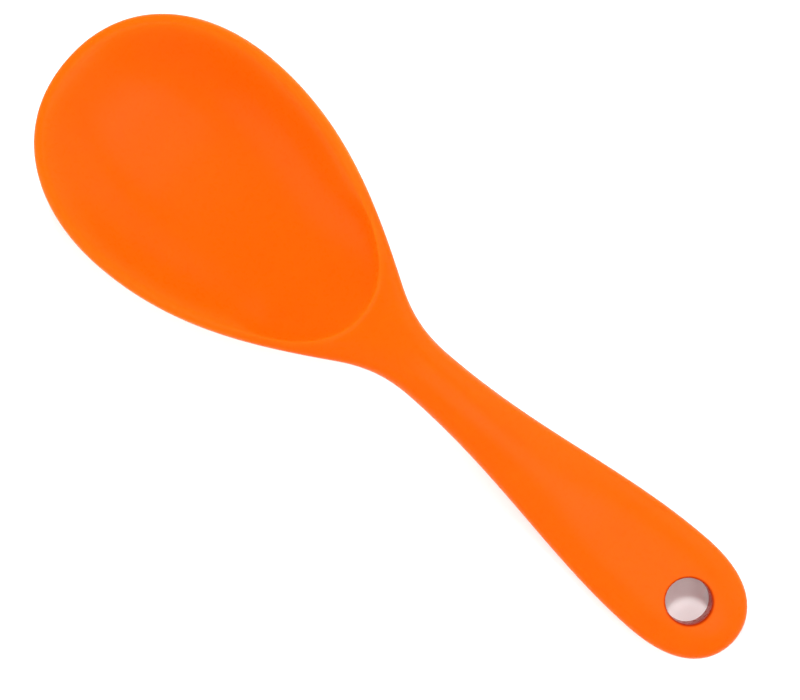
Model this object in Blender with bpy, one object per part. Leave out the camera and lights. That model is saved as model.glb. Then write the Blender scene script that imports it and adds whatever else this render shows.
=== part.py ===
"""Silicone soup spoon: a soft moulded skin over a stiff inner core.

The bowl's tip points along -X and the end of the handle along +X. The spoon lies
on Z = 0, on the flat under its bowl and on the level underside of its grip, and
the origin is the middle of its length there. Plan places are written as
(along, across): the distance from the bowl's tip, and the distance from the
spoon's middle line. One half is modelled and mirrored over that line.
"""

import math

import bmesh
import bpy
import numpy as np
from mathutils import Matrix, Vector

# Lengths along the spoon, one after the other from the bowl's tip
TIP_TO_WIDEST = 0.0403
WIDEST_TO_SHOULDER = 0.0604
SHOULDER_TO_NECK = 0.0211
NECK_TO_GRIP = 0.0813
GRIP_TO_END = 0.0219

# Full widths, and the angle at which the bowl's sides run in to the neck
BOWL_WIDTH = 0.0687
SHOULDER_WIDTH = 0.0273
NECK_WIDTH = 0.0142
GRIP_WIDTH = 0.0302
SHOULDER_TAPER = math.radians(31.0)

# Thicknesses of the moulding, and the heights of its crests above the table
RIM_HEIGHT = 0.0174
LIP_THICKNESS = 0.0038
FLOOR_WALL = 0.0036
NECK_THICKNESS = 0.0100
NECK_CREST = 0.0225
GRIP_THICKNESS = 0.0092
REST_CUT = 0.0004

# The bowl: its land on the rim, its deepest place, the heel of its inside before the
# neck, where its lip starts to swell into the neck, and where its keel ends
RIM_LAND = 0.0022
TIP_TO_DEEPEST = 0.0430
HEEL_TO_NECK = 0.0219
HEEL_LENGTH = 0.0139
SWELL_TO_HEEL = 0.0180
KEEL_TO_NECK = 0.0030

# Over what distance the rim turns down into the bowl's inside, how crisply the heel does,
# and the low bead that runs round the heel
RIM_SOFTNESS = 0.0040
HEEL_SOFTNESS = 0.00015
HEEL_BEAD_HEIGHT = 0.00025
HEEL_BEAD_WIDTH = 0.0007

# The handle's rounded sides, its level end, and the hole that it hangs by
HANDLE_EDGE_ROUND = 0.0115
LEVEL_TO_GRIP = 0.0180
HOLE_TO_END = 0.0157
HOLE_RADIUS = 0.0059
HOLE_EDGE_ROUND = 0.0008

# The inner core, and the room that the skin leaves it
CORE_CLEARANCE = 0.0003
CORE_FLEXIBLE_RIM = 0.0090
CORE_SIDE_COVER = 0.0030
CORE_HOLE_COVER = 0.0022
BLADE_TAPER_TO_SWELL = 0.0139
BLADE_THICKNESS = 0.0012
BAR_THICKNESS = 0.0040

# Keying holes, where the skin's two faces join through the core
KEY_RADIUS = 0.0022
KEY_PITCH = 0.0115
NECK_TO_FIRST_KEY = 0.0190
BLADE_KEYS = 6
BLADE_KEYS_ALONG = 0.0235
BLADE_KEYS_ACROSS = 0.0150

# Small holes under the handle, where the mould's pins hold the core in place
PIN_HOLE_RADIUS = 0.0012

# How full each curve is: 1 reaches its corner, 0 cuts straight across
TIP_PULL = 0.66
WIDEST_PULLS = (0.54, 0.39)
SHOULDER_PULLS = (0.36, 0.26)
NECK_PULLS = (0.49, 0.38)
GRIP_PULLS = (0.34, 0.83)
END_PULL = 0.39
HEEL_PULLS = (0.45, 0.55)
OUTSIDE_FULLNESS = 2.4
INSIDE_FULLNESS = 3.2
INSIDE_LENGTH_FULLNESS = 2.3
KEEL_FULLNESS = 2.3
KEEL_FADE = 2.2
SIDE_ROUND_SHARE = 0.97

# Steps of the mesh
CURVE_STEPS = 60
BOWL_STEPS = 22
ACROSS_STEPS = 5
HANDLE_STEPS = 15
END_STEPS = 9
ROUND_SIDES = 12
EDGE_ARC_STEPS = 3
LIP_ROWS = (0.0, 0.05, 0.18, 0.40, 0.68, 0.88, 1.0)
DISH_ROWS = (0.0, 0.035, 0.08, 0.14, 0.22, 0.33, 0.48, 0.65, 0.83, 1.0)
HULL_ROWS = (0.0, 0.004, 0.014, 0.035, 0.07, 0.14, 0.26, 0.42, 0.60, 0.80, 1.0)
BLADE_ROWS = (0.0, 0.12, 0.26, 0.42, 0.60, 0.80, 1.0)
END_ROWS = (0.0, 0.03, 0.11, 0.25, 0.45, 0.70, 1.0)
CORE_END_ROWS = (0.0, 0.5, 1.0)
NECK_LINE_SHARE = 0.25
END_LINE_SHARE = 1.4
BORDER_LEAD_POWER = 6
SHARP_ANGLE = math.radians(35.0)
WELD = 1e-6

# Places along the spoon that follow from the lengths
SHOULDER_AT = TIP_TO_WIDEST + WIDEST_TO_SHOULDER
NECK_AT = SHOULDER_AT + SHOULDER_TO_NECK
GRIP_AT = NECK_AT + NECK_TO_GRIP
END_AT = GRIP_AT + GRIP_TO_END
HEEL_AT = NECK_AT - HEEL_TO_NECK
HEEL_START = HEEL_AT - HEEL_LENGTH
KEEL_END = NECK_AT - KEEL_TO_NECK
LEVEL_AT = GRIP_AT - LEVEL_TO_GRIP
HOLE_AT = END_AT - HOLE_TO_END
SWELL_START = HEEL_AT - SWELL_TO_HEEL

# The neck line, where the bowl's mesh meets the handle's, and the handle end's line
NECK_LINE_MIDDLE = HEEL_AT + HEEL_TO_NECK * NECK_LINE_SHARE
NECK_LINE_SIDE = HEEL_AT - HEEL_LENGTH * NECK_LINE_SHARE
END_LINE = HOLE_AT - HOLE_TO_END * END_LINE_SHARE


def clear_scene():
    for thing in list(bpy.data.objects):
        bpy.data.objects.remove(thing, do_unlink=True)


def mix(first, second, share):
    return first + (second - first) * share


def ease(value, start, end):
    """Rise smoothly from 0 at start to 1 at end."""
    share = min(max((value - start) / (end - start), 0.0), 1.0)
    return share * share * (3 - 2 * share)


def curve_points(corners, steps):
    """Points and unit directions along a cubic curve through its four corners."""
    first, second, third, fourth = (np.array(corner) for corner in corners)
    share = np.linspace(0, 1, steps + 1)[:, None]
    rest = 1 - share
    points = (rest**3 * first + 3 * rest**2 * share * second
              + 3 * rest * share**2 * third + share**3 * fourth)
    ways = (rest**2 * (second - first) + 2 * rest * share * (third - second)
            + share**2 * (fourth - third))
    return points, ways / np.linalg.norm(ways, axis=1)[:, None]


def spoon_edge():
    """Half of the spoon's outline, from the bowl's tip to the handle's end."""
    taper = np.array([math.cos(SHOULDER_TAPER), -math.sin(SHOULDER_TAPER)])
    tip, tip_side = (0, 0), (0, TIP_PULL * BOWL_WIDTH / 2)
    widest = np.array([TIP_TO_WIDEST, BOWL_WIDTH / 2])
    shoulder = np.array([SHOULDER_AT, SHOULDER_WIDTH / 2])
    neck = np.array([NECK_AT, NECK_WIDTH / 2])
    grip = np.array([GRIP_AT, GRIP_WIDTH / 2])
    end, end_side = (END_AT, 0), (END_AT, END_PULL * GRIP_WIDTH / 2)
    ahead = np.array([1.0, 0.0])
    chain = (
        (tip, tip_side,
         widest - ahead * WIDEST_PULLS[0] * TIP_TO_WIDEST, widest),
        (widest, widest + ahead * WIDEST_PULLS[1] * WIDEST_TO_SHOULDER,
         shoulder - taper * SHOULDER_PULLS[0] * WIDEST_TO_SHOULDER, shoulder),
        (shoulder, shoulder + taper * SHOULDER_PULLS[1] * SHOULDER_TO_NECK,
         neck - ahead * NECK_PULLS[0] * SHOULDER_TO_NECK, neck),
        (neck, neck + ahead * NECK_PULLS[1] * NECK_TO_GRIP,
         grip - ahead * GRIP_PULLS[0] * NECK_TO_GRIP, grip),
        (grip, grip + ahead * GRIP_PULLS[1] * GRIP_TO_END, end_side, end),
    )
    points, ways = [], []
    for corners in chain:
        some_points, some_ways = curve_points(corners, CURVE_STEPS)
        points.extend(some_points[bool(points):])
        ways.extend(some_ways[bool(ways):])
    return np.array(points), np.array(ways)


def inset(points, ways, distance):
    """An outline moved inwards by a distance, which may differ from point to point."""
    inwards = np.column_stack([ways[:, 1], -ways[:, 0]])
    return points + inwards * np.reshape(distance, (-1, 1))


class Plan:
    """Half of a flat outline, with the radius of the hole near its end."""

    def __init__(self, edge, hole_radius):
        self.edge = edge
        self.hole_radius = hole_radius
        lengths = np.linalg.norm(np.diff(edge, axis=0), axis=1)
        self.run = np.concatenate([[0.0], np.cumsum(lengths)])

    def half_width(self, along):
        return float(np.interp(along, self.edge[:, 0], self.edge[:, 1]))

    def run_at(self, along):
        return float(np.interp(along, self.edge[:, 0], self.run))

    def at_run(self, run):
        return tuple(float(np.interp(run, self.run, self.edge[:, axis])) for axis in (0, 1))

    def distance_in(self, along, across):
        """How far a place lies in from the outline."""
        starts = self.edge[:-1]
        sides = self.edge[1:] - starts
        offset = np.array([along, abs(across)]) - starts
        share = np.clip((offset * sides).sum(1) / (sides**2).sum(1), 0, 1)
        return float(np.linalg.norm(offset - sides * share[:, None], axis=1).min())


EDGE_POINTS, EDGE_WAYS = spoon_edge()
BODY = Plan(EDGE_POINTS, HOLE_RADIUS + HOLE_EDGE_ROUND)
RIM_POINTS = inset(EDGE_POINTS, EDGE_WAYS, RIM_LAND)


def heel_curve(steps):
    """The heel of the bowl's inside: from its side, round to the middle line."""
    before = int(np.searchsorted(EDGE_POINTS[:, 0], HEEL_START))
    side, way = RIM_POINTS[before], EDGE_WAYS[before]
    middle, middle_side = (HEEL_AT, 0), (HEEL_AT, HEEL_PULLS[1] * side[1])
    corners = (side, side + way * HEEL_PULLS[0] * HEEL_LENGTH, middle_side, middle)
    return before, curve_points(corners, steps)[0]


def recess_plan():
    before, heel = heel_curve(CURVE_STEPS)
    return Plan(np.concatenate([RIM_POINTS[:before], heel]), 0.0)


RECESS = recess_plan()


def middle_height(along):
    """Height of the skin's widest line."""
    lip, neck = RIM_HEIGHT - LIP_THICKNESS / 2, NECK_CREST - NECK_THICKNESS / 2
    height = mix(lip, neck, ease(along, SWELL_START, NECK_AT))
    return mix(height, GRIP_THICKNESS / 2, ease(along, NECK_AT, LEVEL_AT))


def half_thickness(along):
    half = mix(LIP_THICKNESS / 2, NECK_THICKNESS / 2, ease(along, SWELL_START, NECK_AT))
    return mix(half, GRIP_THICKNESS / 2, ease(along, NECK_AT, LEVEL_AT))


def side_round(along):
    """Width of the skin's rounded side, from the edge in to the flat of its face."""
    handle = min(HANDLE_EDGE_ROUND, SIDE_ROUND_SHARE * BODY.half_width(min(along, GRIP_AT)))
    return mix(LIP_THICKNESS / 2, handle, ease(along, SWELL_START, NECK_AT))


def crown(along, across):
    """Half the thickness of the solid form at a place, before the bowl is hollowed."""
    short = 1 - min(BODY.distance_in(along, across) / side_round(along), 1)
    return half_thickness(along) * math.sqrt(1 - short * short)


def heel_share(along):
    """How much of the bowl's inner edge at a place is heel rather than soft rim."""
    return ease(along, HEEL_START - HEEL_LENGTH, HEEL_START)


def heel_bead(along, across):
    """How far the bead round the heel stands above the faces on either side of it."""
    steps_off = RECESS.distance_in(along, across) / HEEL_BEAD_WIDTH
    return HEEL_BEAD_HEIGHT * heel_share(along) * math.exp(-steps_off**2)


def inside_depth(along, across):
    """How far the bowl's inside lies below the rim and the top of the handle."""
    if not RIM_LAND < along < HEEL_AT:
        return 0.0
    share = abs(across) / RECESS.half_width(along)
    if share >= 1:
        return 0.0
    reach = TIP_TO_DEEPEST - RIM_LAND if along < TIP_TO_DEEPEST else HEEL_AT - TIP_TO_DEEPEST
    lengthwise = 1 - abs((along - TIP_TO_DEEPEST) / reach) ** INSIDE_LENGTH_FULLNESS
    softness = mix(RIM_SOFTNESS, HEEL_SOFTNESS, heel_share(along))
    turned = 1 - math.exp(-RECESS.distance_in(along, across) / softness)
    return (RIM_HEIGHT - FLOOR_WALL) * lengthwise * (1 - share**INSIDE_FULLNESS) * turned


def outside_depth(along, across):
    """How far the bowl's outside lies below the lip and the underside of the handle."""
    if not 0 < along < KEEL_END:
        return 0.0
    share = min(abs(across) / BODY.half_width(along), 1)
    if along < TIP_TO_DEEPEST:
        lengthwise = 1 - (1 - along / TIP_TO_DEEPEST) ** OUTSIDE_FULLNESS
    else:
        reached = (along - TIP_TO_DEEPEST) / (KEEL_END - TIP_TO_DEEPEST)
        lengthwise = (1 - reached**KEEL_FULLNESS) ** KEEL_FADE
    deepest = RIM_HEIGHT - LIP_THICKNESS + REST_CUT
    return deepest * lengthwise * (1 - share**OUTSIDE_FULLNESS)


def top_height(along, across):
    body = middle_height(along) + crown(along, across)
    return body + heel_bead(along, across) - inside_depth(along, across)


def under_height(along, across):
    """The outside, cut flat where it rests on the table."""
    return max(middle_height(along) - crown(along, across) - outside_depth(along, across), 0.0)


def core_height(along, across):
    """Height of the core's middle, halfway between the skin's two faces."""
    return middle_height(along) - (inside_depth(along, across) + outside_depth(along, across)) / 2


def neck_line(plan, share):
    """A place on the neck line; share runs from 0 on the middle line to 1 at the edge."""
    along = mix(NECK_LINE_MIDDLE, NECK_LINE_SIDE, share * share)
    return along, share * plan.half_width(along)


def across_share(step):
    """Steps across the handle, closer together towards its rounded side."""
    return math.sin(math.pi / 2 * step / ACROSS_STEPS)


def bowl_border(plan):
    """Half the bowl's border: from the tip along the edge, then along the neck line to the middle."""
    heel_run = plan.run_at(HEEL_START)
    extra_run = plan.run_at(NECK_LINE_SIDE) - heel_run
    side = []
    for step in range(BOWL_STEPS):
        share = step / BOWL_STEPS
        side.append(plan.at_run(heel_run * share + extra_run * share**BORDER_LEAD_POWER))
    return side + [neck_line(plan, across_share(step)) for step in range(ACROSS_STEPS, -1, -1)]


def recess_border():
    """The bowl's inner edge, point for point beside its border."""
    heel_run = BODY.run_at(HEEL_START)
    side = []
    for step in range(BOWL_STEPS):
        run = heel_run * step / BOWL_STEPS
        side.append(tuple(float(np.interp(run, BODY.run, RIM_POINTS[:, axis])) for axis in (0, 1)))
    return side + [tuple(point) for point in heel_curve(ACROSS_STEPS)[1]]


def handle_place(plan, column, row):
    share = across_share(column)
    start = mix(NECK_LINE_MIDDLE, NECK_LINE_SIDE, share * share)
    along = mix(start, END_LINE, row / HANDLE_STEPS)
    return along, share * plan.half_width(along)


def end_border(plan):
    """Half of the handle end's border: across its line, then round the end to the middle."""
    line = [handle_place(plan, step, HANDLE_STEPS) for step in range(ACROSS_STEPS + 1)]
    first_run, last_run = plan.run_at(END_LINE), plan.run[-1]
    end = [plan.at_run(mix(first_run, last_run, step / END_STEPS)) for step in range(1, END_STEPS + 1)]
    return line + end


def hole_place(place, radius):
    """The point at a radius from the hole's axis, on the way to a place."""
    way = Vector((place[0] - HOLE_AT, place[1])).normalized()
    return HOLE_AT + way.x * radius, way.y * radius


def between(first, second, share):
    return mix(first[0], second[0], share), mix(first[1], second[1], share)


def world(place, height):
    """Turn a plan place and a height into the part's own frame."""
    return Vector((place[0] - END_AT / 2, place[1], height))


def add_patch(bm, columns, rows, place_corner):
    """Add a grid of faces and put each of its corners where it belongs."""
    grid = bmesh.ops.create_grid(bm, x_segments=columns, y_segments=rows, size=0.5)
    for vert in grid["verts"]:
        column = round((vert.co.x + 0.5) * columns)
        row = round((vert.co.y + 0.5) * rows)
        vert.co = place_corner(column, row)


def add_ring_patch(bm, outer, inner, shares, height):
    """Add faces between two borders of as many points, at the height of each place."""
    def corner(column, row):
        place = between(outer[column], inner[column], shares[row])
        return world(place, height(*place))

    add_patch(bm, len(outer) - 1, len(shares) - 1, corner)


def add_handle_patch(bm, plan, height):
    def corner(column, row):
        place = handle_place(plan, column, row)
        return world(place, height(*place))

    add_patch(bm, ACROSS_STEPS, HANDLE_STEPS, corner)


def add_hole_wall(bm):
    """Add the hanging hole's wall, with a rounded edge at each face."""
    border = end_border(BODY)
    turns = [math.pi / 2 * step / EDGE_ARC_STEPS for step in range(EDGE_ARC_STEPS + 1)]

    def corner(column, row):
        rim = hole_place(border[column], BODY.hole_radius)
        low_side = row > EDGE_ARC_STEPS
        turn = turns[2 * EDGE_ARC_STEPS + 1 - row] if low_side else turns[row]
        place = hole_place(border[column], HOLE_RADIUS + HOLE_EDGE_ROUND * (1 - math.sin(turn)))
        drop = HOLE_EDGE_ROUND * (1 - math.cos(turn))
        return world(place, under_height(*rim) + drop if low_side else top_height(*rim) - drop)

    add_patch(bm, len(border) - 1, 2 * EDGE_ARC_STEPS + 1, corner)


def mirrored_mesh(bm, name):
    """Weld a half's patches, mirror it over the middle line and make it a mesh."""
    bmesh.ops.remove_doubles(bm, verts=bm.verts, dist=WELD)
    bmesh.ops.dissolve_degenerate(bm, edges=bm.edges, dist=WELD)
    everything = bm.verts[:] + bm.edges[:] + bm.faces[:]
    bmesh.ops.mirror(bm, geom=everything, matrix=Matrix.Identity(4), merge_dist=WELD, axis="Y")
    bmesh.ops.remove_doubles(bm, verts=bm.verts, dist=WELD)
    bmesh.ops.recalc_face_normals(bm, faces=bm.faces)
    mesh = bpy.data.meshes.new(name)
    bm.to_mesh(mesh)
    bm.free()
    mesh.shade_smooth()
    mesh.set_sharp_from_angle(angle=SHARP_ANGLE)
    return mesh


def skin_mesh():
    """The whole outside of the spoon, as one closed surface."""
    bm = bmesh.new()
    border, inner = bowl_border(BODY), recess_border()
    deepest = [(TIP_TO_DEEPEST, 0.0)] * len(border)
    add_ring_patch(bm, border, inner, LIP_ROWS, top_height)
    add_ring_patch(bm, inner, deepest, DISH_ROWS, top_height)
    add_ring_patch(bm, border, deepest, HULL_ROWS, under_height)
    end = end_border(BODY)
    rim = [hole_place(place, BODY.hole_radius) for place in end]
    for height in (top_height, under_height):
        add_handle_patch(bm, BODY, height)
        add_ring_patch(bm, end, rim, END_ROWS, height)
    add_hole_wall(bm)
    return mirrored_mesh(bm, "silicone_skin")


def core_plan(clearance):
    """The core's outline: well inside the bowl's rim, and just inside the handle's sides."""
    taper_start = SWELL_START - BLADE_TAPER_TO_SWELL
    narrowed = np.array([ease(along, taper_start, NECK_AT) for along in EDGE_POINTS[:, 0]])
    cover = mix(CORE_FLEXIBLE_RIM, CORE_SIDE_COVER, narrowed)
    edge = inset(EDGE_POINTS, EDGE_WAYS, cover - clearance)
    return Plan(edge, HOLE_RADIUS + CORE_HOLE_COVER - clearance)


def core_mesh(name, clearance):
    """The core's blade, bar and eye, grown all over by a clearance."""
    plan = core_plan(clearance)
    bm = bmesh.new()
    border = bowl_border(plan)
    deepest = [(TIP_TO_DEEPEST, 0.0)] * len(border)
    end = end_border(plan)
    eye = [hole_place(place, plan.hole_radius) for place in end]

    def half(along):
        return mix(BLADE_THICKNESS, BAR_THICKNESS, ease(along, SWELL_START, NECK_AT)) / 2 + clearance

    def top(along, across):
        return core_height(along, across) + half(along)

    def under(along, across):
        return core_height(along, across) - half(along)

    for height in (top, under):
        add_ring_patch(bm, border, deepest, BLADE_ROWS, height)
        add_handle_patch(bm, plan, height)
        add_ring_patch(bm, end, eye, CORE_END_ROWS, height)
    handle = [handle_place(plan, ACROSS_STEPS, row) for row in range(HANDLE_STEPS + 1)]
    for side in (border[:BOWL_STEPS + 1], handle, end[ACROSS_STEPS:], eye):
        add_side_wall(bm, side, top, under)
    return mirrored_mesh(bm, name)


def add_side_wall(bm, side, top, under):
    def corner(column, row):
        place = side[column]
        return world(place, (top if row else under)(*place))

    add_patch(bm, len(side) - 1, 1, corner)


def key_places():
    """Centres of the core's keying holes: a ring in the blade and a row in the bar."""
    places = []
    for step in range(BLADE_KEYS):
        turn = 2 * math.pi * (step + 0.5) / BLADE_KEYS
        along = TIP_TO_DEEPEST + BLADE_KEYS_ALONG * math.cos(turn)
        places.append((along, BLADE_KEYS_ACROSS * math.sin(turn)))
    return places + row_places()


def row_places():
    """Centres of the bar's row of keying holes, up to the hanging hole's eye."""
    first = NECK_AT + NECK_TO_FIRST_KEY
    last = HOLE_AT - HOLE_RADIUS - CORE_HOLE_COVER - KEY_PITCH / 2 - KEY_RADIUS
    count = max(int((last - first) / KEY_PITCH) + 1, 1)
    return [(first + step * KEY_PITCH, 0.0) for step in range(count)]


def pin_places():
    """Centres of the mould's pin holes: halfway between the bar's outer keying holes."""
    row = row_places()
    return [(place[0] - KEY_PITCH / 2, 0.0) for place in (row[0], row[-1])]


def round_cutter(name, places, radius, top):
    """Upright round cutters from below the spoon up to each place's top, in one mesh."""
    bm = bmesh.new()
    low = -LIP_THICKNESS
    for place in places:
        high = top(*place)
        middle = Matrix.Translation(world(place, (low + high) / 2))
        bmesh.ops.create_cone(bm, cap_ends=True, segments=ROUND_SIDES, radius1=radius,
                              radius2=radius, depth=high - low, matrix=middle)
    mesh = bpy.data.meshes.new(name)
    bm.to_mesh(mesh)
    bm.free()
    return add_object(name, mesh, None, cutter=True)


def clear_above(along, across):
    """A height over the top of the spoon."""
    return top_height(along, across) + LIP_THICKNESS


def add_object(name, mesh, material, cutter=False):
    thing = bpy.data.objects.new(name, mesh)
    bpy.context.scene.collection.objects.link(thing)
    if material:
        mesh.materials.append(material)
    if cutter:
        thing.hide_render = True
        thing.display_type = "WIRE"
    return thing


def cut(thing, cutter):
    boolean = thing.modifiers.new(cutter.name, "BOOLEAN")
    boolean.operation = "DIFFERENCE"
    boolean.solver = "EXACT"
    boolean.object = cutter


def plain_material(name, colour, roughness):
    material = bpy.data.materials.new(name)
    material.use_nodes = True
    shader = material.node_tree.nodes["Principled BSDF"]
    shader.inputs["Base Color"].default_value = (*colour, 1.0)
    shader.inputs["Roughness"].default_value = roughness
    shader.inputs["Metallic"].default_value = 0.0
    return material


def add_core(name, clearance, cutter):
    """The core with its keying holes, or the room that it takes up in the skin."""
    nylon = None if cutter else plain_material("glass_filled_nylon", (0.62, 0.58, 0.50), 0.55)
    core = add_object(name, core_mesh(name, clearance), nylon, cutter)
    cut(core, round_cutter(name + "_keys", key_places(), KEY_RADIUS - clearance, clear_above))
    return core


def add_skin():
    silicone = plain_material("orange_silicone", (1.0, 0.152, 0.012), 0.42)
    skin = add_object("silicone_skin", skin_mesh(), silicone)
    cut(skin, add_core("core_space", CORE_CLEARANCE, cutter=True))
    cut(skin, round_cutter("mould_pins", pin_places(), PIN_HOLE_RADIUS, core_height))


def main():
    clear_scene()
    add_skin()
    add_core("stiffening_core", 0.0, cutter=False)


main()
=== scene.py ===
"""Silicone soup spoon in a light studio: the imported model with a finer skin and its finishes.

The spoon lies as its model does: the bowl's tip towards -X, the end of the handle
towards +X, and the table at Z = 0. Plan places are written as (along, across): the
distance from the bowl's tip, and the distance from the spoon's middle line. One half
of the skin is modelled and mirrored over that line.
"""
import math

import bmesh
import bpy
import numpy as np
from mathutils import Matrix, Vector

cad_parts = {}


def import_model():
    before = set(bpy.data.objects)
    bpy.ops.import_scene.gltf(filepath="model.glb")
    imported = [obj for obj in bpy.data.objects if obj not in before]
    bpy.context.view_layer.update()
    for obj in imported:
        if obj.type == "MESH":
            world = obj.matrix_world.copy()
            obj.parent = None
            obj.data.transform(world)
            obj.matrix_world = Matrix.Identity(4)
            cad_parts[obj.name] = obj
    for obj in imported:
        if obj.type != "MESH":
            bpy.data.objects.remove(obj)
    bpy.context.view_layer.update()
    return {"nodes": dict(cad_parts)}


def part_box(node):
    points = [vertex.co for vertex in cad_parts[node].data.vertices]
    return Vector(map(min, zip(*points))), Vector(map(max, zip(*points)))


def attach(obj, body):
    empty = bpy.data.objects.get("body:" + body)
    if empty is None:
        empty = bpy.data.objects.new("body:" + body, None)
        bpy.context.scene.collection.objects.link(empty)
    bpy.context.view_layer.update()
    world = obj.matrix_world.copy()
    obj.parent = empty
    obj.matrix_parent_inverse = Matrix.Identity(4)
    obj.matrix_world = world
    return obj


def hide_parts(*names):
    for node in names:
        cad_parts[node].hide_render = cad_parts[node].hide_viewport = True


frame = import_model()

# Lengths along the spoon, one after the other from the bowl's tip
TIP_TO_WIDEST = 0.0403
WIDEST_TO_SHOULDER = 0.0604
SHOULDER_TO_NECK = 0.0211
NECK_TO_GRIP = 0.0813
GRIP_TO_END = 0.0219

# Full widths, and the angle at which the bowl's sides run in to the neck
BOWL_WIDTH = 0.0687
SHOULDER_WIDTH = 0.0273
NECK_WIDTH = 0.0142
GRIP_WIDTH = 0.0302
SHOULDER_TAPER = math.radians(31.0)

# Thicknesses of the moulding, and the heights of its crests above the table
RIM_HEIGHT = 0.0174
LIP_THICKNESS = 0.0038
FLOOR_WALL = 0.0036
NECK_THICKNESS = 0.0100
NECK_CREST = 0.0225
GRIP_THICKNESS = 0.0092
REST_CUT = 0.0004

# The bowl: its land on the rim, its deepest place, the heel of its inside before the
# neck, where its lip starts to swell into the neck, and where its keel ends
RIM_LAND = 0.0022
TIP_TO_DEEPEST = 0.0430
HEEL_TO_NECK = 0.0219
HEEL_LENGTH = 0.0139
SWELL_TO_HEEL = 0.0180
KEEL_TO_NECK = 0.0030

# Over what distance the rim turns down into the bowl's inside, how crisply the heel does,
# and the low bead that runs round the heel
RIM_SOFTNESS = 0.0040
HEEL_SOFTNESS = 0.00015
HEEL_BEAD_HEIGHT = 0.00025
HEEL_BEAD_WIDTH = 0.0007

# The handle's rounded sides, its level end, and the hole that it hangs by
HANDLE_EDGE_ROUND = 0.0115
LEVEL_TO_GRIP = 0.0180
HOLE_TO_END = 0.0157
HOLE_RADIUS = 0.0059
HOLE_EDGE_ROUND = 0.0008

# The holes of the mould's pins under the handle, and the room round the core
PIN_HOLE_RADIUS = 0.0012
PIN_EDGE_ROUND = 0.0002
PIN_HOLES_AT = (0.13505, 0.18105)
CORE_CLEARANCE = 0.0003

# The fine ridge that the mould leaves where its halves meet, all round the widest line
PARTING_RIDGE = 0.0001

# The lip without a core behind it, painted paler as a painted glow of light shining through it,
# and the heel's bead, painted paler as a painted highlight; and the hanging hole's wall, painted a
# deeper orange as painted shade where little light reaches
PAINTED_LIP_LIGHT = "painted_lip_light"
PAINTED_LIP_LIGHT_WIDTH = 0.0035
BEAD_HIGHLIGHT_SHARE = 0.7
BEAD_HIGHLIGHT_WIDTH = 0.0010
# Painted shade: the hanging hole's wall, painted darker where little light reaches
PAINTED_HOLE_SHADE = "hole_wall"

# How full each curve is: 1 reaches its corner, 0 cuts straight across
TIP_PULL = 0.66
WIDEST_PULLS = (0.54, 0.39)
SHOULDER_PULLS = (0.36, 0.26)
NECK_PULLS = (0.49, 0.38)
GRIP_PULLS = (0.34, 0.83)
END_PULL = 0.39
HEEL_PULLS = (0.45, 0.55)
OUTSIDE_FULLNESS = 2.4
INSIDE_FULLNESS = 3.2
INSIDE_LENGTH_FULLNESS = 2.3
KEEL_FULLNESS = 2.3
KEEL_FADE = 2.2
SIDE_ROUND_SHARE = 0.97

# Steps of the skin's fine mesh
CURVE_STEPS = 200
BOWL_STEPS = 100
ACROSS_STEPS = 24
HANDLE_STEPS = 110
END_STEPS = 40
EDGE_ARC_STEPS = 5
ROUND_SIDES = 48
DISH_STEPS = 48
DISH_SPREAD = 1.7
NECK_LINE_SHARE = 0.25
END_LINE_SHARE = 1.4
BORDER_LEAD_POWER = 6
SHARP_ANGLE = math.radians(40.0)
WELD = 1e-6

# Rows of faces that follow a rounded edge and then open out: the share of the way that the
# edge takes, its turns, the rows after it, and how fast those grow
LIP_SPACING = (0.68, 10, 4, 1.0)
HULL_SPACING = (0.055, 12, 44, 1.25)
END_SPACING = (1.0, 24, 0, 1.0)

# The silicone: how it takes light, how far light spreads in it, and its oranges, with a paler one
# for painted light on the lip and a darker one for painted shade in the hanging hole
SILICONE_IOR = 1.41
SILICONE_SPECULAR_LEVEL = 0.05
SILICONE_GLOW = 0.3
SILICONE_GLOW_COLOUR = (1.0, 0.35, 0.1)
SILICONE_GLOW_REACH = 0.0018
SILICONE_ROUGHNESS = (0.26, 0.31)
BODY_ORANGES = ((0.70, 0.095, 0.0006), (0.72, 0.100, 0.0010))
# Painted light: a paler orange for the glow of light through the lip and the highlight on the
# heel's bead
PAINTED_LIGHT_ORANGE = (0.75, 0.123, 0.0025)
# Painted shade: a darker orange for the hanging hole's wall
HOLE_SHADE_ORANGE = (0.34, 0.015, 0.0004)

# The core's nylon, with its fibres showing where their noise rises from one level to the next
NYLON_IOR = 1.52
NYLON_ROUGHNESS = (0.5, 0.62)
NYLON_WHITES = ((0.60, 0.56, 0.48), (0.67, 0.63, 0.56))
FIBRE_LEVELS = (0.45, 0.6)

# The table
TABLE_WHITES = ((0.94, 0.94, 0.94), (0.96, 0.96, 0.96))
TABLE_ROUGHNESS = (0.7, 0.8)
TABLE_REACH = 6.0
TABLE_SQUARES = 4

# Noises of the finishes, each with its scale and its detail, and how deep the bumps are
ORANGE_CLOUD = (38.0, 3.0)
SHEEN_PATCHES = (900.0, 2.0)
SPARK_GRAIN = (5200.0, 2.0)
SPARK_GRAIN_DEPTH = 0.000003
SKIN_WAVES = (120.0, 2.0)
SKIN_WAVE_DEPTH = 0.00002
FIBRES = (2600.0, 3.0)
NYLON_PATCHES = (600.0, 2.0)
NYLON_GRAIN = (1800.0, 3.0)
NYLON_GRAIN_DEPTH = 0.00002
TABLE_CLOUD = (3.0, 2.0)
TABLE_PATCHES = (40.0, 2.0)
NOISE_LEVELS = (0.3, 0.7)

# The studio's even light, and the brighter backdrop behind the table
SURROUND_STRENGTH = 0.52
BACKDROP_STRENGTH = 1.5

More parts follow.
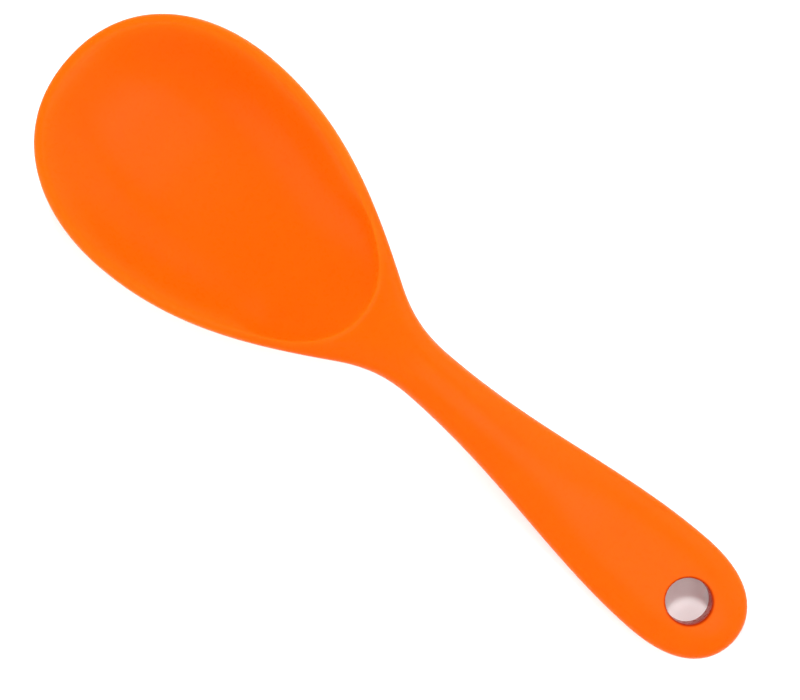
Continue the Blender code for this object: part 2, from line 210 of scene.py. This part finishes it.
# How far off the softboxes stand, and for each its name, its angles round and above the
# spoon in degrees, its side, and its power in watts
SOFTBOX_DISTANCE = 1.2
SOFTBOXES = (
    ("key_softbox", 131, 58, 0.18, 5.8),
    ("overhead_softbox", 0, 80, 0.9, 8.0),
    ("handle_softbox", 0, 56, 0.4, 2.2),
    ("low_end_softbox", 20, 28, 1.0, 3.0),
    ("low_right_softbox", 60, 28, 1.0, 5.0),
    ("low_top_softbox", 100, 28, 1.0, 4.0),
    ("low_left_softbox", 233, 28, 1.0, 6.0),
    ("low_bottom_softbox", 300, 28, 1.0, 2.0),
    ("left_softbox", 245, 45, 0.8, 3.0),
    ("table_key_softbox", 131, 58, 0.18, 3.5),
    ("table_low_softbox", 233, 25, 1.0, 6.5),
)

# The softboxes that give no sheen, that give sheen alone, and that light the table alone
WITHOUT_SHEEN = ("key_softbox", "left_softbox")
SHEEN_ALONE = ("overhead_softbox",)
TABLE_ALONE = ("table_key_softbox", "table_low_softbox")

# The camera: its sensor and lens in millimetres, what it sees between, its place, and how
# it turns and leans
SENSOR_WIDTH = 36.0
FOCAL_LENGTH = 86.74
CLIP_START = 0.01
CLIP_END = 20.0
CAMERA_PLACE = (0.02338, 0.00534, 0.50)
CAMERA_TURN = math.radians(41.105)
CAMERA_LEAN_Y = math.radians(2.486)
CAMERA_LEAN_X = math.radians(1.327)

# Places along the spoon that follow from the lengths, and the hole's radius at its mouths
SHOULDER_AT = TIP_TO_WIDEST + WIDEST_TO_SHOULDER
NECK_AT = SHOULDER_AT + SHOULDER_TO_NECK
GRIP_AT = NECK_AT + NECK_TO_GRIP
END_AT = GRIP_AT + GRIP_TO_END
HEEL_AT = NECK_AT - HEEL_TO_NECK
HEEL_START = HEEL_AT - HEEL_LENGTH
KEEL_END = NECK_AT - KEEL_TO_NECK
LEVEL_AT = GRIP_AT - LEVEL_TO_GRIP
HOLE_AT = END_AT - HOLE_TO_END
SWELL_START = HEEL_AT - SWELL_TO_HEEL
NECK_LINE_MIDDLE = HEEL_AT + HEEL_TO_NECK * NECK_LINE_SHARE
NECK_LINE_SIDE = HEEL_AT - HEEL_LENGTH * NECK_LINE_SHARE
END_LINE = HOLE_AT - HOLE_TO_END * END_LINE_SHARE
HOLE_MOUTH_RADIUS = HOLE_RADIUS + HOLE_EDGE_ROUND


def mix(first, second, share):
    return first + (second - first) * share


def ease(value, start, end):
    """Rise smoothly from 0 at start to 1 at end."""
    share = min(max((value - start) / (end - start), 0.0), 1.0)
    return share * share * (3 - 2 * share)


def rounded_shares(first, turns, rest, spread):
    """Rows that follow a rounded edge over a first share, then open out to 1."""
    edge = [first * (1 - math.cos(math.pi / 2 * step / turns)) for step in range(turns + 1)]
    return edge + [mix(first, 1.0, (step / rest) ** spread) for step in range(1, rest + 1)]


def quarter_turns():
    """Angles from 0 to a right angle, along a rounded edge."""
    return [math.pi / 2 * step / EDGE_ARC_STEPS for step in range(EDGE_ARC_STEPS + 1)]


LIP_ROWS = rounded_shares(*LIP_SPACING)
DISH_ROWS = [(step / DISH_STEPS) ** DISH_SPREAD for step in range(DISH_STEPS + 1)]
HULL_ROWS = rounded_shares(*HULL_SPACING)
END_ROWS = rounded_shares(*END_SPACING)


def curve_points(corners, steps):
    """Points and unit directions along a cubic curve through its four corners."""
    first, second, third, fourth = (np.array(corner) for corner in corners)
    share = np.linspace(0, 1, steps + 1)[:, None]
    rest = 1 - share
    points = (rest**3 * first + 3 * rest**2 * share * second
              + 3 * rest * share**2 * third + share**3 * fourth)
    ways = (rest**2 * (second - first) + 2 * rest * share * (third - second)
            + share**2 * (fourth - third))
    return points, ways / np.linalg.norm(ways, axis=1)[:, None]


def spoon_edge():
    """Half of the spoon's outline, from the bowl's tip to the handle's end."""
    taper = np.array([math.cos(SHOULDER_TAPER), -math.sin(SHOULDER_TAPER)])
    tip, tip_side = (0, 0), (0, TIP_PULL * BOWL_WIDTH / 2)
    widest = np.array([TIP_TO_WIDEST, BOWL_WIDTH / 2])
    shoulder = np.array([SHOULDER_AT, SHOULDER_WIDTH / 2])
    neck = np.array([NECK_AT, NECK_WIDTH / 2])
    grip = np.array([GRIP_AT, GRIP_WIDTH / 2])
    end, end_side = (END_AT, 0), (END_AT, END_PULL * GRIP_WIDTH / 2)
    ahead = np.array([1.0, 0.0])
    chain = (
        (tip, tip_side,
         widest - ahead * WIDEST_PULLS[0] * TIP_TO_WIDEST, widest),
        (widest, widest + ahead * WIDEST_PULLS[1] * WIDEST_TO_SHOULDER,
         shoulder - taper * SHOULDER_PULLS[0] * WIDEST_TO_SHOULDER, shoulder),
        (shoulder, shoulder + taper * SHOULDER_PULLS[1] * SHOULDER_TO_NECK,
         neck - ahead * NECK_PULLS[0] * SHOULDER_TO_NECK, neck),
        (neck, neck + ahead * NECK_PULLS[1] * NECK_TO_GRIP,
         grip - ahead * GRIP_PULLS[0] * NECK_TO_GRIP, grip),
        (grip, grip + ahead * GRIP_PULLS[1] * GRIP_TO_END, end_side, end),
    )
    points, ways = [], []
    for corners in chain:
        some_points, some_ways = curve_points(corners, CURVE_STEPS)
        points.extend(some_points[bool(points):])
        ways.extend(some_ways[bool(ways):])
    return np.array(points), np.array(ways)


def place_along(run, runs, places):
    """The place that lies a given run along a line of places."""
    return tuple(float(np.interp(run, runs, places[:, axis])) for axis in (0, 1))


class Plan:
    """Half of a flat outline, with the run along it to each of its points."""

    def __init__(self, edge):
        self.edge = edge
        lengths = np.linalg.norm(np.diff(edge, axis=0), axis=1)
        self.run = np.concatenate([[0.0], np.cumsum(lengths)])

    def half_width(self, along):
        return float(np.interp(along, self.edge[:, 0], self.edge[:, 1]))

    def run_at(self, along):
        return float(np.interp(along, self.edge[:, 0], self.run))

    def at_run(self, run):
        return place_along(run, self.run, self.edge)

    def distance_in(self, along, across):
        """How far a place lies in from the outline."""
        starts = self.edge[:-1]
        sides = self.edge[1:] - starts
        offset = np.array([along, abs(across)]) - starts
        share = np.clip((offset * sides).sum(1) / (sides**2).sum(1), 0, 1)
        return float(np.linalg.norm(offset - sides * share[:, None], axis=1).min())


EDGE_POINTS, EDGE_WAYS = spoon_edge()
BODY = Plan(EDGE_POINTS)
RIM_POINTS = EDGE_POINTS + RIM_LAND * np.column_stack([EDGE_WAYS[:, 1], -EDGE_WAYS[:, 0]])


def heel_curve(steps):
    """The heel of the bowl's inside: from its side, round to the middle line."""
    before = int(np.searchsorted(EDGE_POINTS[:, 0], HEEL_START))
    side, way = RIM_POINTS[before], EDGE_WAYS[before]
    middle, middle_side = (HEEL_AT, 0), (HEEL_AT, HEEL_PULLS[1] * side[1])
    corners = (side, side + way * HEEL_PULLS[0] * HEEL_LENGTH, middle_side, middle)
    return before, curve_points(corners, steps)[0]


def recess_plan():
    """The outline of the bowl's inside: along the rim, then round the heel."""
    before, heel = heel_curve(CURVE_STEPS)
    return Plan(np.concatenate([RIM_POINTS[:before], heel]))


RECESS = recess_plan()


def middle_height(along):
    """Height of the skin's widest line."""
    lip, neck = RIM_HEIGHT - LIP_THICKNESS / 2, NECK_CREST - NECK_THICKNESS / 2
    height = mix(lip, neck, ease(along, SWELL_START, NECK_AT))
    return mix(height, GRIP_THICKNESS / 2, ease(along, NECK_AT, LEVEL_AT))


def half_thickness(along):
    half = mix(LIP_THICKNESS / 2, NECK_THICKNESS / 2, ease(along, SWELL_START, NECK_AT))
    return mix(half, GRIP_THICKNESS / 2, ease(along, NECK_AT, LEVEL_AT))


def side_round(along):
    """Width of the skin's rounded side, from the edge in to the flat of its face."""
    handle = min(HANDLE_EDGE_ROUND, SIDE_ROUND_SHARE * BODY.half_width(min(along, GRIP_AT)))
    return mix(LIP_THICKNESS / 2, handle, ease(along, SWELL_START, NECK_AT))


def crown(along, across):
    """Half the thickness of the solid form at a place, before the bowl is hollowed."""
    short = 1 - min(BODY.distance_in(along, across) / side_round(along), 1)
    return half_thickness(along) * math.sqrt(1 - short * short)


def heel_share(along):
    """How much of the bowl's inner edge at a place is heel rather than soft rim."""
    return ease(along, HEEL_START - HEEL_LENGTH, HEEL_START)


def heel_bead(along, across):
    """How far the bead round the heel stands above the faces on either side of it."""
    steps_off = RECESS.distance_in(along, across) / HEEL_BEAD_WIDTH
    return HEEL_BEAD_HEIGHT * heel_share(along) * math.exp(-steps_off**2)


def inside_depth(along, across):
    """How far the bowl's inside lies below the rim and the top of the handle."""
    if not RIM_LAND < along < HEEL_AT:
        return 0.0
    share = abs(across) / RECESS.half_width(along)
    if share >= 1:
        return 0.0
    reach = TIP_TO_DEEPEST - RIM_LAND if along < TIP_TO_DEEPEST else HEEL_AT - TIP_TO_DEEPEST
    lengthwise = 1 - abs((along - TIP_TO_DEEPEST) / reach) ** INSIDE_LENGTH_FULLNESS
    softness = mix(RIM_SOFTNESS, HEEL_SOFTNESS, heel_share(along))
    turned = 1 - math.exp(-RECESS.distance_in(along, across) / softness)
    return (RIM_HEIGHT - FLOOR_WALL) * lengthwise * (1 - share**INSIDE_FULLNESS) * turned


def outside_depth(along, across):
    """How far the bowl's outside lies below the lip and the underside of the handle."""
    if not 0 < along < KEEL_END:
        return 0.0
    share = min(abs(across) / BODY.half_width(along), 1)
    if along < TIP_TO_DEEPEST:
        lengthwise = 1 - (1 - along / TIP_TO_DEEPEST) ** OUTSIDE_FULLNESS
    else:
        reached = (along - TIP_TO_DEEPEST) / (KEEL_END - TIP_TO_DEEPEST)
        lengthwise = (1 - reached**KEEL_FULLNESS) ** KEEL_FADE
    deepest = RIM_HEIGHT - LIP_THICKNESS + REST_CUT
    return deepest * lengthwise * (1 - share**OUTSIDE_FULLNESS)


def top_height(along, across):
    body = middle_height(along) + crown(along, across)
    return body + heel_bead(along, across) - inside_depth(along, across)


def under_height(along, across):
    """The outside, cut flat where it rests on the table."""
    return max(middle_height(along) - crown(along, across) - outside_depth(along, across), 0.0)


def core_height(along, across):
    """Height of the core's middle, halfway between the skin's two faces."""
    hollow = inside_depth(along, across) + outside_depth(along, across)
    return middle_height(along) - hollow / 2


def neck_line(share):
    """A place on the neck line; share runs from 0 on the middle line to 1 at the edge."""
    along = mix(NECK_LINE_MIDDLE, NECK_LINE_SIDE, share * share)
    return along, share * BODY.half_width(along)


def across_share(step):
    """Steps across the handle, closer together towards its rounded side."""
    return math.sin(math.pi / 2 * step / ACROSS_STEPS)


def bowl_border():
    """Half the bowl's border: from the tip along the edge, then over the neck to the middle."""
    heel_run = BODY.run_at(HEEL_START)
    extra_run = BODY.run_at(NECK_LINE_SIDE) - heel_run
    side = []
    for step in range(BOWL_STEPS):
        share = step / BOWL_STEPS
        side.append(BODY.at_run(heel_run * share + extra_run * share**BORDER_LEAD_POWER))
    return side + [neck_line(across_share(step)) for step in range(ACROSS_STEPS, -1, -1)]


def recess_border():
    """The bowl's inner edge, point for point beside its border."""
    heel_run = BODY.run_at(HEEL_START)
    runs = [heel_run * step / BOWL_STEPS for step in range(BOWL_STEPS)]
    side = [place_along(run, BODY.run, RIM_POINTS) for run in runs]
    return side + [tuple(point) for point in heel_curve(ACROSS_STEPS)[1]]


def handle_place(column, row):
    """A corner of the handle's faces, counted from the middle line and from the neck."""
    share = across_share(column)
    start = mix(NECK_LINE_MIDDLE, NECK_LINE_SIDE, share * share)
    along = mix(start, END_LINE, row / HANDLE_STEPS)
    return along, share * BODY.half_width(along)


def end_border():
    """Half of the handle end's border: across its line, then round the end to the middle."""
    line = [handle_place(step, HANDLE_STEPS) for step in range(ACROSS_STEPS + 1)]
    first_run, last_run = BODY.run_at(END_LINE), BODY.run[-1]
    shares = [step / END_STEPS for step in range(1, END_STEPS + 1)]
    return line + [BODY.at_run(mix(first_run, last_run, share)) for share in shares]


def hole_place(place, radius):
    """The point at a radius from the hole's axis, on the way to a place."""
    way = Vector((place[0] - HOLE_AT, place[1])).normalized()
    return HOLE_AT + way.x * radius, way.y * radius


def between(first, second, share):
    return mix(first[0], second[0], share), mix(first[1], second[1], share)


def world(place, height):
    """Turn a plan place and a height into the model's own frame."""
    return Vector((place[0] - END_AT / 2, place[1], height))


def plan_place(point):
    """The plan place of a point in the model's own frame."""
    return point.x + END_AT / 2, point.y


def add_patch(bm, columns, rows, place_corner):
    """Add a grid of faces and put each of its corners where it belongs."""
    grid = bmesh.ops.create_grid(bm, x_segments=columns, y_segments=rows, size=0.5)
    for vert in grid["verts"]:
        column = round((vert.co.x + 0.5) * columns)
        row = round((vert.co.y + 0.5) * rows)
        vert.co = place_corner(column, row)


def add_ring_patch(bm, outer, inner, shares, height):
    """Add faces between two borders of as many points, at the height of each place."""
    def corner(column, row):
        place = between(outer[column], inner[column], shares[row])
        return world(place, height(*place))

    add_patch(bm, len(outer) - 1, len(shares) - 1, corner)


def add_handle_patch(bm, height):
    def corner(column, row):
        place = handle_place(column, row)
        return world(place, height(*place))

    add_patch(bm, ACROSS_STEPS, HANDLE_STEPS, corner)


def add_hole_wall(bm, border):
    """Add the hanging hole's wall, with a rounded edge at each face."""
    turns = quarter_turns()

    def corner(column, row):
        rim = hole_place(border[column], HOLE_MOUTH_RADIUS)
        low_side = row > EDGE_ARC_STEPS
        turn = turns[2 * EDGE_ARC_STEPS + 1 - row] if low_side else turns[row]
        radius = HOLE_RADIUS + HOLE_EDGE_ROUND * (1 - math.sin(turn))
        drop = HOLE_EDGE_ROUND * (1 - math.cos(turn))
        height = under_height(*rim) + drop if low_side else top_height(*rim) - drop
        return world(hole_place(border[column], radius), height)

    add_patch(bm, len(border) - 1, 2 * EDGE_ARC_STEPS + 1, corner)


def skin_form():
    """The whole outside of the spoon, as one closed surface."""
    bm = bmesh.new()
    border, inner = bowl_border(), recess_border()
    deepest = [(TIP_TO_DEEPEST, 0.0)] * len(border)
    add_ring_patch(bm, border, inner, LIP_ROWS, top_height)
    add_ring_patch(bm, inner, deepest, DISH_ROWS, top_height)
    add_ring_patch(bm, border, deepest, HULL_ROWS, under_height)
    end = end_border()
    rim = [hole_place(place, HOLE_MOUTH_RADIUS) for place in end]
    for height in (top_height, under_height):
        add_handle_patch(bm, height)
        add_ring_patch(bm, end, rim, END_ROWS, height)
    add_hole_wall(bm, end)
    bmesh.ops.remove_doubles(bm, verts=bm.verts, dist=WELD)
    bmesh.ops.dissolve_degenerate(bm, edges=bm.edges, dist=WELD)
    everything = bm.verts[:] + bm.edges[:] + bm.faces[:]
    bmesh.ops.mirror(bm, geom=everything, matrix=Matrix.Identity(4), merge_dist=WELD, axis="Y")
    bmesh.ops.remove_doubles(bm, verts=bm.verts, dist=WELD)
    bmesh.ops.recalc_face_normals(bm, faces=bm.faces)
    raise_parting_line(bm)
    return bm


def push_out(verts, distance):
    """Move places of a form outwards, each along the direction that it faces."""
    pushed = [(vert, vert.co + vert.normal * distance) for vert in verts]
    for vert, place in pushed:
        vert.co = place


def raise_parting_line(bm):
    """Push the skin's widest line out, as the ridge where the mould's halves meet."""
    bm.normal_update()
    line = [vert for vert in bm.verts if BODY.distance_in(*plan_place(vert.co)) < WELD]
    push_out(line, PARTING_RIDGE)


def keep_in_box(bm, low, high):
    """Draw a form in, by a hair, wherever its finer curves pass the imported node's box."""
    corners = np.array([vert.co for vert in bm.verts])
    own_sides = corners.max(axis=0) - corners.min(axis=0)
    shrink = [min(1.0, (high[axis] - low[axis]) / own_sides[axis]) for axis in range(3)]
    anchor = Vector(((low[0] + high[0]) / 2, (low[1] + high[1]) / 2, low[2]))
    bmesh.ops.translate(bm, verts=bm.verts, vec=-anchor)
    bmesh.ops.scale(bm, verts=bm.verts, vec=shrink)
    bmesh.ops.translate(bm, verts=bm.verts, vec=anchor)


def to_object(name, bm):
    """Put a form into the scene as a named object."""
    mesh = bpy.data.meshes.new(name)
    bm.to_mesh(mesh)
    bm.free()
    thing = bpy.data.objects.new(name, mesh)
    bpy.context.scene.collection.objects.link(thing)
    return thing


def pin_hole_cutter(along):
    """One mould pin's hole, with a flared mouth, from below the handle up to the core."""
    bm = bmesh.new()
    mouth, top = under_height(along, 0.0), core_height(along, 0.0)
    flare = PIN_HOLE_RADIUS + PIN_EDGE_ROUND
    profile = [(0.0, mouth - LIP_THICKNESS), (flare, mouth - LIP_THICKNESS)]
    for turn in quarter_turns():
        profile.append((flare - PIN_EDGE_ROUND * math.sin(turn),
                        mouth + PIN_EDGE_ROUND * (1 - math.cos(turn))))
    profile += [(PIN_HOLE_RADIUS, top), (0.0, top)]
    verts = [bm.verts.new(world((along + radius, 0.0), height)) for radius, height in profile]
    edges = [bm.edges.new(pair) for pair in zip(verts, verts[1:])]
    bmesh.ops.spin(bm, geom=verts + edges, cent=world((along, 0.0), 0.0), axis=(0, 0, 1),
                   angle=2 * math.pi, steps=ROUND_SIDES, use_merge=True)
    bmesh.ops.remove_doubles(bm, verts=bm.verts, dist=WELD)
    bmesh.ops.recalc_face_normals(bm, faces=bm.faces)
    return to_object("pin_hole_cutter", bm)


def core_room_cutter(core):
    """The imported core, grown by its clearance: the room that the skin leaves it."""
    bm = bmesh.new()
    bm.from_mesh(core.data)
    bmesh.ops.remove_doubles(bm, verts=bm.verts, dist=WELD)
    bm.normal_update()
    push_out(bm.verts, CORE_CLEARANCE)
    return to_object("core_room_cutter", bm)


def carve(piece, cutter):
    """Cut one form out of a piece for good, and clear the cutter away."""
    boolean = piece.modifiers.new(cutter.name, "BOOLEAN")
    boolean.operation = "DIFFERENCE"
    boolean.solver = "EXACT"
    boolean.object = cutter
    bpy.context.view_layer.update()
    depsgraph = bpy.context.evaluated_depsgraph_get()
    carved = bpy.data.meshes.new_from_object(piece.evaluated_get(depsgraph))
    piece.modifiers.clear()
    piece.data = carved
    bpy.data.objects.remove(cutter, do_unlink=True)


def add_skin(core):
    """Add the moulded skin, hollow where the core lies in it and pierced by the mould's pins."""
    form = skin_form()
    keep_in_box(form, *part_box("silicone_skin"))
    skin = to_object("moulded_skin", form)
    carve(skin, core_room_cutter(core))
    for along in PIN_HOLES_AT:
        carve(skin, pin_hole_cutter(along))
    skin.data.name = "moulded_skin"
    # Painted light: the lip's glow and the heel bead's highlight, written into the mesh for the
    # colour
    mark(skin.data, PAINTED_LIP_LIGHT, painted_light_share)
    # Painted shade on the hanging hole's wall, written into the mesh for the colour
    mark(skin.data, PAINTED_HOLE_SHADE, painted_hole_shade_share)
    skin.data.shade_smooth()
    skin.data.set_sharp_from_angle(angle=SHARP_ANGLE)
    return skin


def painted_light_share(along, across):
    """How much painted light a place takes: a painted glow most on the bowl's thin lip, a weaker
    painted highlight along the bead round its heel.
    """
    lip = math.exp(-BODY.distance_in(along, across) / PAINTED_LIP_LIGHT_WIDTH)
    bead = math.exp(-(RECESS.distance_in(along, across) / BEAD_HIGHLIGHT_WIDTH) ** 2)
    return mix(lip, BEAD_HIGHLIGHT_SHARE * bead, heel_share(along))


def painted_hole_shade_share(along, across):
    """How much painted shade a place takes on the hanging hole's wall: 0 on the handle's faces."""
    return 1 - ease(math.hypot(along - HOLE_AT, across), HOLE_RADIUS, HOLE_MOUTH_RADIUS)


def mark(mesh, name, share):
    """Write a share of each place into the mesh, for the finish to read."""
    values = [share(*plan_place(vert.co)) for vert in mesh.vertices]
    mesh.attributes.new(name, "FLOAT", "POINT").data.foreach_set("value", values)


class Finish:
    """A material's nodes, with short ways to add and link them."""

    def __init__(self, name):
        self.material = bpy.data.materials.new(name)
        self.material.use_nodes = True
        self.nodes = self.material.node_tree.nodes
        self.links = self.material.node_tree.links
        self.shader = self.nodes["Principled BSDF"]
        self.place = self.nodes.new("ShaderNodeTexCoord").outputs["Object"]

    def noise(self, scale, detail):
        """A cloudy pattern over the piece, that runs through it."""
        node = self.nodes.new("ShaderNodeTexNoise")
        node.inputs["Scale"].default_value = scale
        node.inputs["Detail"].default_value = detail
        self.links.new(self.place, node.inputs["Vector"])
        return node.outputs["Fac"]

    def attribute(self, name):
        """The shares that mark() wrote into the mesh."""
        node = self.nodes.new("ShaderNodeAttribute")
        node.attribute_name = name
        return node.outputs["Fac"]

    def map(self, value, low, high, levels=NOISE_LEVELS):
        """Spread a value between two levels over the range from low to high."""
        node = self.nodes.new("ShaderNodeMapRange")
        node.inputs["From Min"].default_value = levels[0]
        node.inputs["From Max"].default_value = levels[1]
        node.inputs["To Min"].default_value = low
        node.inputs["To Max"].default_value = high
        self.links.new(value, node.inputs["Value"])
        return node.outputs["Result"]

    def blend(self, share, first, second):
        """Turn from a first colour to a second as a share rises."""
        node = self.nodes.new("ShaderNodeMix")
        node.data_type = "RGBA"
        self.links.new(share, node.inputs["Factor"])
        colour_inputs = [entry for entry in node.inputs if entry.type == "RGBA"]
        for socket, colour in zip(colour_inputs, (first, second)):
            if isinstance(colour, tuple):
                socket.default_value = (*colour, 1.0)
            else:
                self.links.new(colour, socket)
        return [entry for entry in node.outputs if entry.type == "RGBA"][0]

    def bump(self, height, distance, below=None):
        """Let a value raise the surface, on top of another bump where one is given."""
        node = self.nodes.new("ShaderNodeBump")
        node.inputs["Distance"].default_value = distance
        self.links.new(height, node.inputs["Height"])
        if below is not None:
            self.links.new(below, node.inputs["Normal"])
        return node.outputs["Normal"]

    def use(self, **outputs):
        """Link outputs to the shader's inputs of the same names."""
        for name, output in outputs.items():
            self.links.new(output, self.shader.inputs[name.replace("_", " ")])


def orange_silicone():
    """Matt moulded silicone: an orange with the mould's fine spark-eroded grain, painted light on
    the lip and the heel's bead, and painted shade on the hanging hole's wall.
    """
    finish = Finish("orange_silicone")
    shader = finish.shader.inputs
    shader["IOR"].default_value = SILICONE_IOR
    shader["Specular IOR Level"].default_value = SILICONE_SPECULAR_LEVEL
    shader["Subsurface Weight"].default_value = SILICONE_GLOW
    shader["Subsurface Radius"].default_value = SILICONE_GLOW_COLOUR
    shader["Subsurface Scale"].default_value = SILICONE_GLOW_REACH
    body = finish.blend(finish.map(finish.noise(*ORANGE_CLOUD), 0.0, 1.0), *BODY_ORANGES)
    # Painted light: the lip's glow and the heel bead's highlight, painted into the colour
    outside = finish.blend(finish.attribute(PAINTED_LIP_LIGHT), body, PAINTED_LIGHT_ORANGE)
    waves = finish.bump(finish.noise(*SKIN_WAVES), SKIN_WAVE_DEPTH)
    # Painted shade: the hanging hole's wall painted a darker orange where little light reaches
    finish.use(Base_Color=finish.blend(finish.attribute(PAINTED_HOLE_SHADE), outside, HOLE_SHADE_ORANGE),
               Roughness=finish.map(finish.noise(*SHEEN_PATCHES), *SILICONE_ROUGHNESS),
               Normal=finish.bump(finish.noise(*SPARK_GRAIN), SPARK_GRAIN_DEPTH, waves))
    return finish.material


def core_nylon():
    """Glass-filled nylon: off-white, with short pale fibres and a dull grain."""
    finish = Finish("core_nylon")
    finish.shader.inputs["IOR"].default_value = NYLON_IOR
    fibres = finish.map(finish.noise(*FIBRES), 0.0, 1.0, FIBRE_LEVELS)
    finish.use(Base_Color=finish.blend(fibres, *NYLON_WHITES),
               Roughness=finish.map(finish.noise(*NYLON_PATCHES), *NYLON_ROUGHNESS),
               Normal=finish.bump(finish.noise(*NYLON_GRAIN), NYLON_GRAIN_DEPTH))
    return finish.material


def pale_table():
    """A matt white table top, a little uneven in its white and its sheen."""
    finish = Finish("pale_table")
    cloud = finish.map(finish.noise(*TABLE_CLOUD), 0.0, 1.0)
    finish.use(Base_Color=finish.blend(cloud, *TABLE_WHITES),
               Roughness=finish.map(finish.noise(*TABLE_PATCHES), *TABLE_ROUGHNESS))
    return finish.material


def add_table():
    bm = bmesh.new()
    bmesh.ops.create_grid(bm, x_segments=TABLE_SQUARES, y_segments=TABLE_SQUARES, size=TABLE_REACH)
    table = to_object("table", bm)
    table.data.materials.append(pale_table())
    return table


def add_softbox(name, azimuth, elevation, size, power):
    """A square area light that looks at the middle of the spoon, from angles in degrees."""
    turn, rise = math.radians(azimuth), math.radians(elevation)
    level = Vector((math.cos(turn), math.sin(turn), 0.0)) * math.cos(rise)
    way = level + Vector((0.0, 0.0, math.sin(rise)))
    light = bpy.data.lights.new(name, "AREA")
    light.shape = "SQUARE"
    light.size = size
    light.energy = power
    lamp = bpy.data.objects.new(name, light)
    lamp.location = way * SOFTBOX_DISTANCE
    lamp.rotation_mode = "QUATERNION"
    lamp.rotation_quaternion = way.to_track_quat("Z", "Y")
    bpy.context.scene.collection.objects.link(lamp)
    return lamp


def add_surroundings():
    """Even white light from all round, with a brighter backdrop for the camera's eye alone."""
    surroundings = bpy.data.worlds.new("studio")
    surroundings.use_nodes = True
    nodes, links = surroundings.node_tree.nodes, surroundings.node_tree.links
    background = nodes["Background"]
    background.inputs["Color"].default_value = (1.0, 1.0, 1.0, 1.0)
    strength = nodes.new("ShaderNodeMapRange")
    strength.inputs["To Min"].default_value = SURROUND_STRENGTH
    strength.inputs["To Max"].default_value = BACKDROP_STRENGTH
    seen = nodes.new("ShaderNodeLightPath").outputs["Is Camera Ray"]
    links.new(seen, strength.inputs["Value"])
    links.new(strength.outputs["Result"], background.inputs["Strength"])
    bpy.context.scene.world = surroundings


def shine_only_on(thing, lamp):
    """Let a lamp light one thing, and fall on nothing else."""
    lit = bpy.data.collections.new(lamp.name)
    lit.objects.link(thing)
    lamp.light_linking.receiver_collection = lit


def add_studio(table):
    """Light the spoon from all round, and the table under it a little more."""
    add_surroundings()
    for name, azimuth, elevation, size, power in SOFTBOXES:
        lamp = add_softbox(name, azimuth, elevation, size, power)
        lamp.visible_glossy = name not in WITHOUT_SHEEN
        lamp.visible_diffuse = name not in SHEEN_ALONE
        if name in TABLE_ALONE:
            shine_only_on(table, lamp)
    bpy.context.scene.view_settings.view_transform = "Standard"


def add_camera():
    """The photograph's view: from above, with the bowl at the upper left."""
    lens = bpy.data.cameras.new("camera")
    lens.sensor_width = SENSOR_WIDTH
    lens.lens = FOCAL_LENGTH
    lens.clip_start = CLIP_START
    lens.clip_end = CLIP_END
    camera = bpy.data.objects.new("camera", lens)
    camera.location = CAMERA_PLACE
    camera.rotation_mode = "QUATERNION"
    turn = Matrix.Rotation(CAMERA_TURN, 3, "Z")
    lean = Matrix.Rotation(CAMERA_LEAN_Y, 3, "Y") @ Matrix.Rotation(CAMERA_LEAN_X, 3, "X")
    camera.rotation_quaternion = (turn @ lean).to_quaternion()
    bpy.context.scene.collection.objects.link(camera)
    bpy.context.scene.camera = camera


core = frame["nodes"]["stiffening_core"]
skin = add_skin(core)
skin.data.materials.clear()
skin.data.materials.append(orange_silicone())
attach(skin, "root")
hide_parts("silicone_skin")
for slot in core.material_slots:
    slot.material = core_nylon()
add_studio(add_table())
add_camera()
